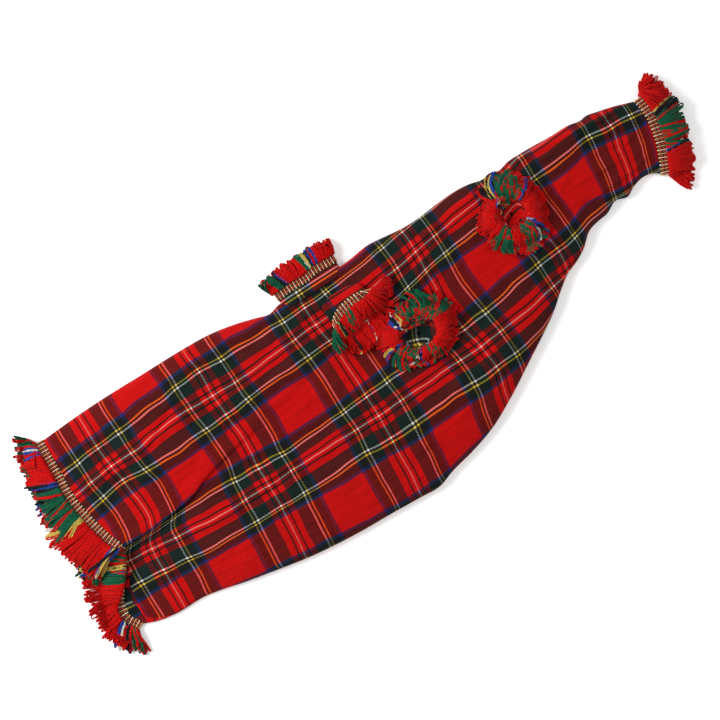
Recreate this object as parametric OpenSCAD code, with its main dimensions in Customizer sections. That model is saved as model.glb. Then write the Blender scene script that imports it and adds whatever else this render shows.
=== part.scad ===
/* [Cloth cover] */
// Thickness of the tartan cloth
cloth_t = 1.2; // [0.8:0.1:1.5]
// Height of the laid cover at its fullest
cover_h = 22; // [20:0.5:26]
// Height of the laid cover at its rear mouth
rear_h = 14; // [13:0.5:18]
// Height of the laid cover at its neck mouth
neck_h = 16; // [14:0.5:18]
// Squareness of the cross-section, 2 being an ellipse
section_power = 4; // [3:0.5:5]
// Width of the seam allowances inside the long edges
seam_w = 7; // [5:0.5:9]
// Depth of the turned hems inside the two mouths
hem_w = 12; // [8:1:16]

/* [Trim] */
// Width of the woven braid that heads each fringe
braid_w = 11; // [9:0.5:12]
// Thickness of the woven braid
braid_t = 1.6; // [1.2:0.1:2]
// Thickness of a row of wool tufts
fringe_t = 4.5; // [3:0.5:5]

/* [Round sleeves] */
// Inside radius of a round sleeve
sleeve_r = 21; // [19:0.5:22]
// Height of a round sleeve when it is squashed down
sleeve_h = 13; // [12:0.5:16]
// Reach of the wool from the centre of a drone sleeve
drone_fringe_r = 32; // [29:0.5:32]
// Reach of the wool from the centre of the blowpipe sleeve
blow_fringe_r = 42; // [34:0.5:44]

/* [Flat sleeve] */
// Width of the outer drone sleeve, pressed flat
flat_w = 68; // [62:1:70]
// Height of the outer drone sleeve, pressed flat
flat_h = 9; // [8.5:0.1:9.5]
// Length of its cloth from the cover's edge
flat_len = 13.7; // [12:0.1:14]
// Reach of its wool from the cover's centre line
flat_reach = 141; // [136:1:141]

/* [Hidden] */

tartan = "firebrick";
lining = "darkred";
braid_gold = "tan";
wool_red = "red";
wool_green = "seagreen";
wool_accent = "goldenrod";

// Laid outline: the upper and lower long edges, as [x, y], read along the cover.
upper_edge = [
    [-345, 115], [-265, 118], [-165, 116], [-105, 108], [-70, 98.5], [15, 98],
    [50, 101], [135, 98], [225, 96], [295, 90], [352, 79]
];
lower_edge = [
    [-345, -97], [-265, -109], [-165, -131], [-75, -139], [-25, -141], [25, -130],
    [85, -105], [155, -65], [215, -27], [265, -4], [310, 4], [352, 1]
];
// Height of the laid cover, as [x, z], from the rear mouth to the neck mouth.
crown = [[-345, rear_h], [-265, cover_h], [150, cover_h], [260, 18], [352, neck_h]];

cloth_rear = -332;
cloth_neck = 343;
rear_tip = -388;
neck_tip = 380;
neck_slant = 0.2;
slant_start = 240;
slant_end = 340;

// Centres of the three round sleeves on the front panel.
middle_at = [-3, 46];
inner_at = [44, 0];
blow_at = [183, 46];
lift_gap = 0.3;
fit_gap = 0.1;
seam_gap = 0.8;

flat_x = -21;
flat_z = 6.6;
flat_base = 99.3;

arc_n = 24;
stations_n = 44;
$fn = 72;

// Slope of a hand-chosen curve at one of its points.
function slope(pts, i) =
    let(a = max(i - 1, 0), b = min(i + 1, len(pts) - 1))
    (pts[b][1] - pts[a][1]) / (pts[b][0] - pts[a][0]);
// Which stretch of the curve holds x.
function stretch(pts, x, i = 0) =
    (i >= len(pts) - 2 || x <= pts[i + 1][0]) ? i : stretch(pts, x, i + 1);
// Smooth curve through the points, held level past its ends.
function curve(pts, x) =
    let(
        i = stretch(pts, x),
        h = pts[i + 1][0] - pts[i][0],
        t = min(max((x - pts[i][0]) / h, 0), 1)
    )
    (2 * t * t * t - 3 * t * t + 1) * pts[i][1]
    + (t * t * t - 2 * t * t + t) * h * slope(pts, i)
    + (3 * t * t - 2 * t * t * t) * pts[i + 1][1]
    + (t * t * t - t * t) * h * slope(pts, i + 1);

function crown_z(x) = min(curve(crown, x), cover_h);
function mid_y(x) = (curve(upper_edge, x) + curve(lower_edge, x)) / 2;
function half_w(x) = (curve(upper_edge, x) - curve(lower_edge, x)) / 2;
function slant(x) = neck_slant * min(max((x - slant_start) / (slant_end - slant_start), 0), 1);

// A point on the cover's section at x: angle 0 is the upper edge, 180 the lower, grown by off.
function on_cover(x, angle, off) =
    let(
        c = cos(angle), s = sin(angle), e = 2 / section_power,
        y = sign(c) * (half_w(x) + off) * pow(abs(c), e),
        z = cloth_t + (crown_z(x) - cloth_t + off) * pow(abs(s), e)
    )
    [x + slant(x) * y, mid_y(x) + y, z];
// Height of the cover's outer face over a point of its plan.
function top_z(x, y) =
    let(s = abs(y - mid_y(x)) / half_w(x))
    cloth_t + (crown_z(x) - cloth_t) * pow(1 - pow(s, section_power), 1 / section_power);
function around(at, r) = [for (a = [0:30:330]) top_z(at[0] + r * cos(a), at[1] + r * sin(a))];
function sleeve_base(at) = max(around(at, sleeve_r + cloth_t)) + lift_gap;
function seam_top(at) = min(around(at, sleeve_r + 6)) - cloth_t - fit_gap;

// The front half of a section, open at the bottom.
function arch(x, off, from = 0, to = 180) =
    [for (i = [0:arc_n]) on_cover(x, from + (to - from) * i / arc_n, off)];
// A whole section: the arch closed by two corners at height floor_z.
function loop_at(x, off, floor_z) =
    let(a = arch(x, off))
    concat(a, [[a[arc_n][0], a[arc_n][1], floor_z], [a[0][0], a[0][1], floor_z]]);

// A skin between two lists of sections, with the same points in each. A closed section makes a
// tube and an open one makes a curved sheet.
module skin(outer, inner, closed) {
    k = len(outer);
    m = len(outer[0]);
    far = k * m;
    last = closed ? m - 1 : m - 2;
    faces = concat(
        [for (i = [0:k - 2], j = [0:last]) let(n = (j + 1) % m)
            [i * m + j, i * m + n, (i + 1) * m + n, (i + 1) * m + j]],
        [for (i = [0:k - 2], j = [0:last]) let(n = (j + 1) % m)
            [far + i * m + j, far + (i + 1) * m + j, far + (i + 1) * m + n, far + i * m + n]],
        [for (j = [0:last]) let(n = (j + 1) % m) [j, far + j, far + n, n]],
        [for (j = [0:last]) let(n = (j + 1) % m, e = (k - 1) * m)
            [e + j, e + n, far + e + n, far + e + j]],
        closed ? [] : [for (i = [0:k - 2]) [i * m, (i + 1) * m, far + (i + 1) * m, far + i * m]],
        closed ? [] : [for (i = [0:k - 2]) let(e = m - 1)
            [i * m + e, far + i * m + e, far + (i + 1) * m + e, (i + 1) * m + e]]
    );
    split = [for (f = faces) each [[f[0], f[1], f[2]], [f[0], f[2], f[3]]]];
    polyhedron(points = concat([for (s = outer) each s], [for (s = inner) each s]), faces = split);
}

// A closed band round the cover, from x0 to x1.
module band(x0, x1, out_off, in_off, floor_lo, floor_hi) {
    skin(
        [for (x = [x0, x1]) loop_at(x, out_off, floor_lo)],
        [for (x = [x0, x1]) loop_at(x, in_off, floor_hi)],
        true
    );
}

module cover_outline() {
    xs = [for (i = [0:stations_n]) cloth_rear + (cloth_neck - cloth_rear) * i / stations_n];
    polygon(concat(
        [for (x = xs) let(p = on_cover(x, 0, 0)) [p[0], p[1]]],
        [for (i = [0:stations_n]) let(p = on_cover(xs[stations_n - i], 180, 0)) [p[0], p[1]]]
    ));
}

// Long ellipse-ended outline of a sleeve pressed flat.
module stadium(w, h) {
    square([w - h, h], center = true);
    for (side = [-1, 1]) translate([side * (w - h) / 2, 0]) circle(d = h);
}
// The ring between two such outlines, running along +Y from y0 to y1.
module flat_ring(w, h, wall, y0, y1) {
    translate([flat_x, y0, flat_z]) rotate([-90, 0, 0])
        linear_extrude(height = y1 - y0) difference() {
            stadium(w, h);
            stadium(w - 2 * wall, h - 2 * wall);
        }
}

// A strip of seam allowance lying inside one long edge; side is 1 for the upper edge.
module seam_strip(x0, x1, side) {
    xs = [for (i = [0:stations_n]) x0 + (x1 - x0) * i / stations_n];
    near = cloth_t + seam_gap;
    lo = cloth_t;
    hi = cloth_t + 2;
    function edge_pt(x, inset, z) =
        let(p = on_cover(x, side > 0 ? 0 : 180, -inset)) [p[0], p[1], z];
    skin(
        [for (x = xs) side > 0
            ? [edge_pt(x, near, hi), edge_pt(x, near + seam_w, hi)]
            : [edge_pt(x, near + seam_w, hi), edge_pt(x, near, hi)]],
        [for (x = xs) side > 0
            ? [edge_pt(x, near, lo), edge_pt(x, near + seam_w, lo)]
            : [edge_pt(x, near + seam_w, lo), edge_pt(x, near, lo)]],
        false
    );
}

// A row of wool tufts between two angles of the cover's section, from x0 to x1.
module tuft_row(x0, x1, from, to) {
    skin(
        [for (x = [x0, x1]) arch(x, 1.5, from, to)],
        [for (x = [x0, x1]) arch(x, 1.5 - fringe_t, from, to)],
        false
    );
}
// The row of tufts under the mouth, between two shares of its width.
module floor_row(x0, x1, from, to) {
    function across(x, share, z) =
        let(a = on_cover(x, 0, -3.2), b = on_cover(x, 180, -3.2), p = a + (b - a) * share)
        [p[0], p[1], z];
    skin(
        [for (x = [x0, x1]) [across(x, from, 2.8), across(x, to, 2.8)]],
        [for (x = [x0, x1]) [across(x, from, 0), across(x, to, 0)]],
        false
    );
}

// One sector of the wool round a round sleeve, sloping down to its reach.
module wool_sector(at, reach, from, to) {
    r0 = sleeve_r + cloth_t + braid_t + 2 * fit_gap;
    translate([at[0], at[1], sleeve_base(at)]) rotate([0, 0, from])
        rotate_extrude(angle = to - from)
            polygon([[r0, 4], [reach, 0.8], [reach, 5], [r0 + 4, sleeve_h], [r0, sleeve_h + 1]]);
}
module round_wool(at, reach, sectors) {
    for (s = sectors) wool_sector(at, reach, s[0], s[1]);
}
module round_sleeve(at) {
    translate([at[0], at[1], sleeve_base(at)]) difference() {
        cylinder(r = sleeve_r + cloth_t, h = sleeve_h);
        translate([0, 0, -1]) cylinder(r = sleeve_r, h = sleeve_h + 2);
    }
}
module round_braid(at) {
    translate([at[0], at[1], sleeve_base(at) + sleeve_h - braid_w]) difference() {
        cylinder(r = sleeve_r + cloth_t + fit_gap + braid_t, h = braid_w);
        translate([0, 0, -1]) cylinder(r = sleeve_r + cloth_t + fit_gap, h = braid_w + 2);
    }
}
// The seam allowance that joins a round sleeve to the cover, turned in under the hole.
module hole_seam(at) {
    translate([at[0], at[1], seam_top(at) - cloth_t]) difference() {
        cylinder(r = sleeve_r + 6, h = cloth_t);
        translate([0, 0, -1]) cylinder(r = sleeve_r + 0.5, h = cloth_t + 2);
    }
}

module front_panel() {
    color(tartan) difference() {
        skin(
            [for (i = [0:stations_n])
                arch(cloth_rear + (cloth_neck - cloth_rear) * i / stations_n, 0)],
            [for (i = [0:stations_n])
                arch(cloth_rear + (cloth_neck - cloth_rear) * i / stations_n, -cloth_t)],
            false
        );
        for (at = [middle_at, inner_at, blow_at])
            translate([at[0], at[1], cover_h / 2]) cylinder(r = sleeve_r + 0.5, h = cover_h);
        translate([flat_x - (flat_w - flat_h) / 2, flat_base - 12, flat_z - flat_h / 2 + cloth_t])
            cube([flat_w - flat_h, 20, flat_h - 2 * cloth_t]);
    }
}
module back_panel() { color(tartan) linear_extrude(height = cloth_t) cover_outline(); }
module upper_rear_seam() {
    color(lining) seam_strip(cloth_rear + hem_w + 1, flat_x - flat_w / 2 - 2, 1);
}
module upper_front_seam() {
    color(lining) seam_strip(flat_x + flat_w / 2 + 2, cloth_neck - hem_w - 1, 1);
}
module lower_seam() {
    color(lining) seam_strip(cloth_rear + hem_w + 1, cloth_neck - hem_w - 1, -1);
}
module rear_hem() {
    color(lining) band(cloth_rear, cloth_rear + hem_w, -cloth_t - fit_gap,
        -2 * cloth_t - fit_gap, cloth_t, 2 * cloth_t);
}
module neck_hem() {
    color(lining) band(cloth_neck - hem_w, cloth_neck, -cloth_t - fit_gap,
        -2 * cloth_t - fit_gap, cloth_t, 2 * cloth_t);
}
module rear_braid() {
    color(braid_gold) band(cloth_rear - braid_w, cloth_rear, 0.4, 0.4 - braid_t, 0, braid_t);
}
module neck_braid() {
    color(braid_gold) band(cloth_neck, cloth_neck + braid_w, 0.4, 0.4 - braid_t, 0, braid_t);
}

// Wool at the rear mouth. Angles run over the front row, and shares along the row beneath.
module rear_wool(rows, shares) {
    for (r = rows) tuft_row(rear_tip, cloth_rear - braid_w, r[0], r[1]);
    for (s = shares) floor_row(rear_tip, cloth_rear - braid_w, s[0], s[1]);
}
module neck_wool(rows, shares) {
    for (r = rows) tuft_row(cloth_neck + braid_w, neck_tip, r[0], r[1]);
    for (s = shares) floor_row(cloth_neck + braid_w, neck_tip, s[0], s[1]);
}
module rear_fringe_red() {
    color(wool_red) rear_wool([[21, 47], [78, 100], [134, 161]], [[0, 0.2], [0.46, 0.72]]);
}
module rear_fringe_green() {
    color(wool_green) rear_wool([[0, 15], [51, 72], [106, 128], [166, 180]],
        [[0.24, 0.42], [0.76, 1]]);
}
module rear_fringe_accent() {
    color(wool_accent) rear_wool([[16, 20], [48, 50], [73, 77], [101, 105], [129, 133], [162, 165]],
        [[0.205, 0.235], [0.425, 0.455], [0.725, 0.755]]);
}
module neck_fringe_red() {
    color(wool_red) neck_wool([[0, 56], [120, 180]], [[0, 0.35], [0.6, 1]]);
}
module neck_fringe_green() { color(wool_green) neck_wool([[66, 108]], [[0.4, 0.55]]); }
module neck_fringe_accent() {
    color(wool_accent) neck_wool([[57, 65], [109, 119]], [[0.355, 0.395], [0.555, 0.595]]);
}

module outer_drone_sleeve() {
    color(tartan) flat_ring(flat_w, flat_h, cloth_t, flat_base, flat_base + flat_len);
}
module outer_drone_braid() {
    grow = 2 * (braid_t + fit_gap);
    color(braid_gold) flat_ring(flat_w + grow, flat_h + grow, braid_t,
        flat_base + flat_len - braid_w, flat_base + flat_len);
}
// Wool of the flat sleeve between two shares of its width, above and below the mouth.
module flat_wool(shares) {
    wide = flat_w + 18;
    for (s = shares) intersection() {
        flat_ring(wide, flat_h + 3, 2.9, flat_base + flat_len, flat_reach);
        translate([flat_x - wide / 2 + wide * s[0], flat_base, -1])
            cube([wide * (s[1] - s[0]), 60, 20]);
    }
}
module outer_drone_fringe_red() { color(wool_red) flat_wool([[0.32, 0.6], [0.72, 0.98]]); }
module outer_drone_fringe_green() { color(wool_green) flat_wool([[0, 0.24]]); }
module outer_drone_fringe_accent() {
    color(wool_accent) flat_wool([[0.245, 0.315], [0.605, 0.715], [0.985, 1]]);
}

module middle_drone_seam() { color(lining) hole_seam(middle_at); }
module middle_drone_sleeve() { color(tartan) round_sleeve(middle_at); }
module middle_drone_braid() { color(braid_gold) round_braid(middle_at); }
module middle_drone_fringe_red() {
    color(wool_red) round_wool(middle_at, drone_fringe_r, [[-10, 70], [190, 285]]);
}
module middle_drone_fringe_green() {
    color(wool_green) round_wool(middle_at, drone_fringe_r, [[82, 178], [297, 338]]);
}
module middle_drone_fringe_accent() {
    color(wool_accent) round_wool(middle_at, drone_fringe_r,
        [[71, 81], [179, 189], [286, 296], [339, 349]]);
}

module inner_drone_seam() { color(lining) hole_seam(inner_at); }
module inner_drone_sleeve() { color(tartan) round_sleeve(inner_at); }
module inner_drone_braid() { color(braid_gold) round_braid(inner_at); }
module inner_drone_fringe_red() {
    color(wool_red) round_wool(inner_at, drone_fringe_r, [[120, 200], [-60, 15]]);
}
module inner_drone_fringe_green() {
    color(wool_green) round_wool(inner_at, drone_fringe_r, [[27, 108], [212, 288]]);
}
module inner_drone_fringe_accent() {
    color(wool_accent) round_wool(inner_at, drone_fringe_r,
        [[16, 26], [109, 119], [201, 211], [289, 299]]);
}

module blowpipe_seam() { color(lining) hole_seam(blow_at); }
module blowpipe_sleeve() { color(tartan) round_sleeve(blow_at); }
module blowpipe_braid() { color(braid_gold) round_braid(blow_at); }
module blowpipe_fringe_red() {
    color(wool_red) round_wool(blow_at, blow_fringe_r, [[125, 200], [-50, 30]]);
}
module blowpipe_fringe_green() {
    color(wool_green) round_wool(blow_at, blow_fringe_r, [[42, 113], [212, 298]]);
}
module blowpipe_fringe_accent() {
    color(wool_accent) round_wool(blow_at, blow_fringe_r,
        [[31, 41], [114, 124], [201, 211], [299, 309]]);
}

front_panel();
back_panel();
upper_rear_seam();
upper_front_seam();
lower_seam();
rear_hem();
neck_hem();
rear_braid();
neck_braid();
rear_fringe_red();
rear_fringe_green();
rear_fringe_accent();
neck_fringe_red();
neck_fringe_green();
neck_fringe_accent();
outer_drone_sleeve();
outer_drone_braid();
outer_drone_fringe_red();
outer_drone_fringe_green();
outer_drone_fringe_accent();
middle_drone_seam();
middle_drone_sleeve();
middle_drone_braid();
middle_drone_fringe_red();
middle_drone_fringe_green();
middle_drone_fringe_accent();
inner_drone_seam();
inner_drone_sleeve();
inner_drone_braid();
inner_drone_fringe_red();
inner_drone_fringe_green();
inner_drone_fringe_accent();
blowpipe_seam();
blowpipe_sleeve();
blowpipe_braid();
blowpipe_fringe_red();
blowpipe_fringe_green();
blowpipe_fringe_accent();
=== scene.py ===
import math

import bpy
import numpy as np
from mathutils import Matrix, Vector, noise


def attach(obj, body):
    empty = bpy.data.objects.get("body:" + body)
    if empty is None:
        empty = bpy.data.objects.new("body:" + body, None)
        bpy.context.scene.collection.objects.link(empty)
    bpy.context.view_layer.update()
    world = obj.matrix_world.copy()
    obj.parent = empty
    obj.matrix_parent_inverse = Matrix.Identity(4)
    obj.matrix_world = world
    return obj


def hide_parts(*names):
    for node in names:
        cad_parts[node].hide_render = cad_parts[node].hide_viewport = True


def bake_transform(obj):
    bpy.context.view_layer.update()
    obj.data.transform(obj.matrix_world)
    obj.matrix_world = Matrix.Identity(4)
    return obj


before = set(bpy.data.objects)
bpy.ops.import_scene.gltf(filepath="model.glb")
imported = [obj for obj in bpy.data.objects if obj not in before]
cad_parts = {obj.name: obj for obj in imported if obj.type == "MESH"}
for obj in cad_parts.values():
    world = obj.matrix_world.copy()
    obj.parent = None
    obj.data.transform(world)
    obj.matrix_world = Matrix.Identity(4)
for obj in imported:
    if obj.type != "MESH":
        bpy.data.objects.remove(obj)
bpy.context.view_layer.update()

MM = 0.001

# The laid cloth is drawn in millimetres, x toward the neck and y toward the outer drone, and SHIFT
# carries that drawing to the row frame, whose origin is the middle of the box.
SHIFT = np.array((-15.5, 17.5, 0))

SETT = 131.0
HALF = SETT / 2
# The sett's stripes from the middle of the wide red one: colour and width in millimetres.
STRIPES = [
    ("red", 23.2), ("blue", 3.6), ("black", 7.6), ("yellow", 1.5), ("black", 2.45), ("white", 1.7),
    ("black", 2.15), ("green", 10.4), ("red", 6.3), ("black", 2.3), ("red", 3.5), ("white", 0.8),
]
DYE = {
    "red": (0.445, 0.0018, 0.0018),
    "blue": (0.012, 0.017, 0.115),
    "black": (0.0060, 0.0066, 0.0062),
    "yellow": (0.68, 0.42, 0.016),
    "white": (0.70, 0.67, 0.58),
    "green": (0.0044, 0.0135, 0.0118),
}
WOOL = {
    "red": (0.50, 0.0036, 0.0030),
    "green": (0.006, 0.090, 0.042),
    "blue": (0.014, 0.045, 0.26),
    "black": (0.010, 0.010, 0.012),
    "yellow": (0.50, 0.36, 0.07),
    "white": (0.56, 0.53, 0.45),
}
THREAD = {
    "cream": (0.78, 0.62, 0.36),
    "gold": (0.60, 0.36, 0.10),
    "red": (0.50, 0.010, 0.012),
    "black": (0.012, 0.010, 0.010),
    "green": (0.02, 0.10, 0.045),
}

CLOTH_T = 1.0
# How far apart the diagonal lines of the twill come round along a yarn, in metres.
TWILL = 0.0033
# Height of the long seams, and of the upper one where the outer drone's sleeve comes out of it.
SEAM_Z = 2.6
FLAT_LIFT = 7.6
# Height of the back cloth's edge at the two mouths.
BACK_EDGE_Z = 2.5
# Turned-in cloth: how thick it is, how far below the front cloth's top it lies, and how far in it reaches.
TURNED_T = 0.8
TURNED_UNDER = CLOTH_T + 0.9
SEAM_IN = 8.5
HEM_IN = 12.5
HOLE_IN = 6.0
# Radius of a wool yarn, how wide a small bunch of yarns is along the rim, and the braid's width.
YARN_R = 0.8
BUNCH = 4.8
BRAID_W = 9.0


# ---------------------------------------------------------------- curves and the laid cloth

def hermite(t, y0, y1, m0, m1):
    """The cubic from y0 to y1 while t goes from 0 to 1, with slopes m0 and m1 at its ends."""
    return ((2 * t ** 3 - 3 * t ** 2 + 1) * y0 + (t ** 3 - 2 * t ** 2 + t) * m0
            + (3 * t ** 2 - 2 * t ** 3) * y1 + (t ** 3 - t ** 2) * m1)


def curve(knots, x):
    """A smooth line through given (x, y) knots, straight past its ends."""
    kx, ky = np.array(knots, float).T
    x = np.asarray(x, float)
    slope = np.gradient(ky, kx)
    i = np.clip(np.searchsorted(kx, x) - 1, 0, len(kx) - 2)
    h = kx[i + 1] - kx[i]
    t = (x - kx[i]) / h
    inside = hermite(t, ky[i], ky[i + 1], h * slope[i], h * slope[i + 1])
    before = ky[0] + (x - kx[0]) * slope[0]
    after = ky[-1] + (x - kx[-1]) * slope[-1]
    return np.where(x < kx[0], before, np.where(x > kx[-1], after, inside))


def columns(*parts):
    """Numbers or runs of numbers, side by side as the columns of one array."""
    return np.stack(np.broadcast_arrays(*parts), 1)


def turns(count):
    """Angles of count even steps once round."""
    return np.arange(count) / count * math.tau


def unit(vectors):
    return vectors / (np.linalg.norm(vectors, axis=-1, keepdims=True) + 1e-12)


def square_to(axis, vectors):
    """The vectors turned square to an axis each, with length one."""
    return unit(vectors - (vectors * axis).sum(1, keepdims=True) * axis)


def run_lengths(steps):
    """How far each point of a line is along it, from the steps between them."""
    return np.concatenate(((0,), np.cumsum(np.linalg.norm(steps, axis=1))))


def sample(s, at, rows):
    """Rows of numbers, known at distances at, read at distances s."""
    return columns(*(np.interp(s, at, k) for k in rows.T))


def smooth(a, b, x):
    """From 0 at a to 1 at b, with level ends."""
    t = np.clip((x - a) / (b - a), 0, 1)
    return t * t * (3 - 2 * t)


# The cover's two long edges, from the rear mouth to the neck.
UPPER = [
    (-334, 96.5), (-317, 97.5), (-300, 98.5), (-250, 100), (-200, 99), (-150, 98), (-120, 96),
    (-90, 90), (-70, 84), (-57, 80), (-46, 82.5), (-20, 82), (40, 82), (65, 84.5),
    (85, 82), (100, 80), (185, 80), (197, 77), (207, 78.5), (215, 75.5), (228, 78),
    (245, 78), (280, 76), (300, 75.5), (313, 73), (319, 74), (330, 71.5), (350, 66), (368, 59.5),
]
LOWER = [
    (-345, -106), (-334, -112), (-320, -118), (-300, -122), (-265, -123.5), (-250, -126.5),
    (-225, -133), (-200, -138.5), (-150, -148.5), (-100, -154), (-60, -156), (-30, -158),
    (-5, -159), (10, -154), (40, -147.5), (70, -138.5), (100, -124), (140, -101), (170, -83.5),
    (185, -74), (200, -62), (218, -49.5), (230, -45), (245, -37), (258, -26), (272, -22),
    (284, -20.5), (298, -14), (310, -17.5), (322, -12), (332, -9.5), (345, -12), (354, -19),
]
# Where each lengthwise stripe lies across the cover, at these distances along it.
ALONG = (-310, -275, -240, -200, -160, -110, -60, 0, 60, 100, 140, 200, 240, 270, 300, 350)
TRACKS = {
    -182: (-162, -162, -156, -160, -164, -169, -175, -175, -165, -164, -158, -148, -140, -134, -132, -132),
    -156: (-138, -138, -132, -136, -140, -145, -151, -151, -141, -139, -134, -124, -116, -110, -108, -108),
    -106: (-91, -92.5, -94, -96.5, -96.5, -100, -103, -106, -104.5, -103.5, -97.5, -88, -82, -76, -74, -74),
    -91.8: (-76, -78.5, -84.5, -86, -88, -89.5, -88.5, -91, -88, -88.5, -86, -73, -68, -62, -60, -60),
    -65.5: (-51, -55, -59, -63.5, -64, -64.5, -64.5, -65, -63.5, -63.5, -60, -52.5, -46, -38, -36, -36),
    -39.2: (-41, -41.5, -40.5, -41, -44, -47, -45.5, -42.5, -41, -40, -36, -27, -24, -16, -14, -13),
    -25: (-34, -35.5, -33, -27.5, -29, -32.5, -33, -29.5, -27, -25.5, -20, -13, -9.5, -1.5, -6, -6),
    25: (1, 5, 3, 3, 5.5, 8.5, 9, 14, 15, 21, 23, 28, 37, 37, 42, 36),
    39.2: (15, 20, 17, 17, 17.5, 21.5, 23, 24, 24, 32, 37.5, 42, 51, 52.5, 55, 50),
    65.5: (34, 37.5, 38, 43, 42, 41, 43.5, 46, 47, 52, 57, 65, 76, 76, 78, 74),
    91.8: (56.5, 60, 61.5, 64.5, 67.5, 66.5, 65, 65.5, 71, 77.5, 81, 88, 98, 98, 100, 97),
    106: (72, 73, 75, 79, 81, 80.5, 78, 77, 82, 88, 94, 101, 112, 112, 114, 111),
    140: (104, 105, 107, 111, 113, 112, 110, 109, 114, 120, 126, 133, 144, 144, 146, 143),
}
# Where the middle of each group of cross stripes lies along the cover, at these places across it.
ACROSS = (-150, -120, -90, -62, -44, -37, -32, -10, 20, 45, 70, 95)
PIVOTS = [
    (-409, -409, -408, -407, -402, -396, -394, -392, -394, -396, -397, -397),
    (-289, -288, -286, -284, -280, -273, -270.5, -267.5, -270.5, -273, -273, -273.5),
    (-159, -155, -151.5, -150, -149, -148.5, -147.5, -145.5, -147, -148, -148, -149),
    (-27, -24.5, -21.5, -20, -20, -20, -20, -20, -21, -22.5, -24, -24.5),
    (92, 98, 104.5, 103, 99.5, 99, 98.5, 97, 98, 100, 100, 98),
    (214, 216, 218, 219, 219, 220, 220.5, 219, 216, 214.5, 215.5, 216),
    (300, 305, 310, 312, 315, 316.5, 317, 320, 326.5, 331.5, 333, 333.5),
    (398, 404, 410, 412, 415, 418, 420, 424, 434, 439, 441, 442),
]


def at_stations(stations, rows, x):
    """Each row's value at every x, as one array per row."""
    return np.array([curve(list(zip(stations, row)), x) for row in rows])


def between(levels, at, value):
    """The level whose place is value, for each column of at, which rises from row to row."""
    levels = np.array(levels, float)
    k = np.clip((at < value).sum(0) - 1, 0, len(levels) - 2)
    col = np.arange(at.shape[1])
    h = at[k + 1, col] - at[k, col]
    slope = np.gradient(levels)[:, None] / np.gradient(at, axis=0)
    t = np.clip((value - at[k, col]) / h, -1.5, 2.5)
    rise = levels[k + 1] - levels[k]
    m0 = np.clip(slope[k, col] * h, 0, 3 * rise)
    m1 = np.clip(slope[k + 1, col] * h, 0, 3 * rise)
    inside = hermite(t, levels[k], levels[k + 1], m0, m1)
    line = levels[k] + t * rise
    return np.where((t < 0) | (t > 1), line, inside)


def rumple(x, y, size, seed):
    """Soft noise from -1 to 1 over the drawing."""
    return np.array([noise.noise((a / size, b / size, seed)) for a, b in zip(x, y)])


def crinkle(x, y):
    """Small drifts of the weave where the cloth puckers."""
    return np.stack((rumple(x, y, 24, 31.5), rumple(x, y, 19, 57.3)))


def weave_at(x, y):
    """Flat cloth coordinates (along, across), in millimetres, of points of the laid drawing."""
    x = np.asarray(x, float).ravel()
    y = np.asarray(y, float).ravel()
    across = between(list(TRACKS), at_stations(ALONG, TRACKS.values(), x), y)
    steps = [SETT * (k - 3) for k in range(len(PIVOTS))]
    along = between(steps, at_stations(ACROSS, PIVOTS, y), x)
    drift = crinkle(x, y)
    return along + 1.7 * drift[0], across + 1.5 * drift[1]


# The tuck at the rear: its line across the drawing, and how far the cloth steps down there.
TUCK_LINE = [(-345, -38), (-306, -36), (-285, -36.5), (-268, -37), (-245, -34), (-222, -31),
             (-200, -23), (-160, -15), (-120, -8), (-90, -2), (-55, 5)]
TUCK_DROP = [(-345, 9), (-306, 8.5), (-270, 7), (-240, 4.5), (-215, 2.4), (-180, 1.7), (-120, 1.1),
             (-80, 0.5), (-50, 0), (-40, 0)]
CROWN = [(-345, 11.5), (-317, 12.5), (-285, 16), (-240, 19), (-150, 20), (60, 20), (150, 19.5),
         (215, 18), (265, 16), (310, 14.5), (368, 13.5)]
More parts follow.
